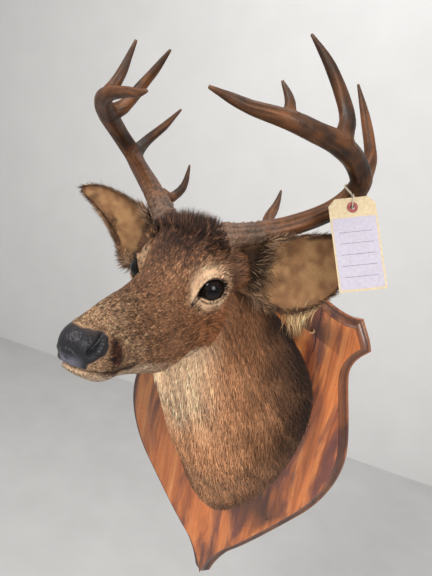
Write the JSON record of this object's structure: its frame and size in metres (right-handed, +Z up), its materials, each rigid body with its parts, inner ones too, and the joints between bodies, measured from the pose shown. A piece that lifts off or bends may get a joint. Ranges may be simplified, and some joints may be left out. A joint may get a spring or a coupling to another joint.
{
  "type": "deer shoulder mount",
  "caption": "Mounted head and neck of an antlered white-tailed buck on a pointed wooden shield plaque, with a paper tag tied to one antler.",
  "frame": {"origin": "on the flat back face of the plaque, on its centre line and near the middle of its height", "axes": "+Y out of the plaque's back into the wall, +Z up, +X to the deer's left; the deer looks along -Y, towards the room"},
  "size_m": [0.463, 0.4196, 0.9291],
  "materials": {
    "plaque": "gloss varnish, red-brown with darker streaks",
    "coat": "short brown hair",
    "neck_coat": "longer tan and brown hair",
    "ear": "thin hair with a dark rim",
    "nose": "pebbled, satin black",
    "eye": "polished dark glass eye",
    "antler": "stained bone, rough at the base and smooth at the tips",
    "tag": "matt manila card",
    "eyelet": "red fibre washer",
    "string": "thin cotton string"
  },
  "bodies": {
    "root": {"antler_left_base": "antler", "antler_left_beam_1": "antler", "antler_left_beam_2": "antler", "antler_left_beam_3": "antler", "antler_left_beam_tip": "antler", "antler_left_brow_tine": "antler", "antler_left_g2": "antler", "antler_left_g3": "antler", "antler_left_g4": "antler", "antler_right_base": "antler", "antler_right_beam_1": "antler", "antler_right_beam_2": "antler", "antler_right_beam_3": "antler", "antler_right_beam_tip": "antler", "antler_right_brow_tine": "antler", "antler_right_g2": "antler", "antler_right_g3": "antler", "antler_right_g4": "antler", "ear_left": "ear", "ear_right": "ear", "eye_left": "eye", "eye_right": "eye", "head": "coat", "lower_jaw": "coat", "neck": "neck_coat", "nose": "nose", "plaque": "plaque", "string_knot": "string", "tag": "tag", "tag_eyelet": "eyelet", "tag_string": "string", "tag_tie": "string"}
  },
  "joints": []
}
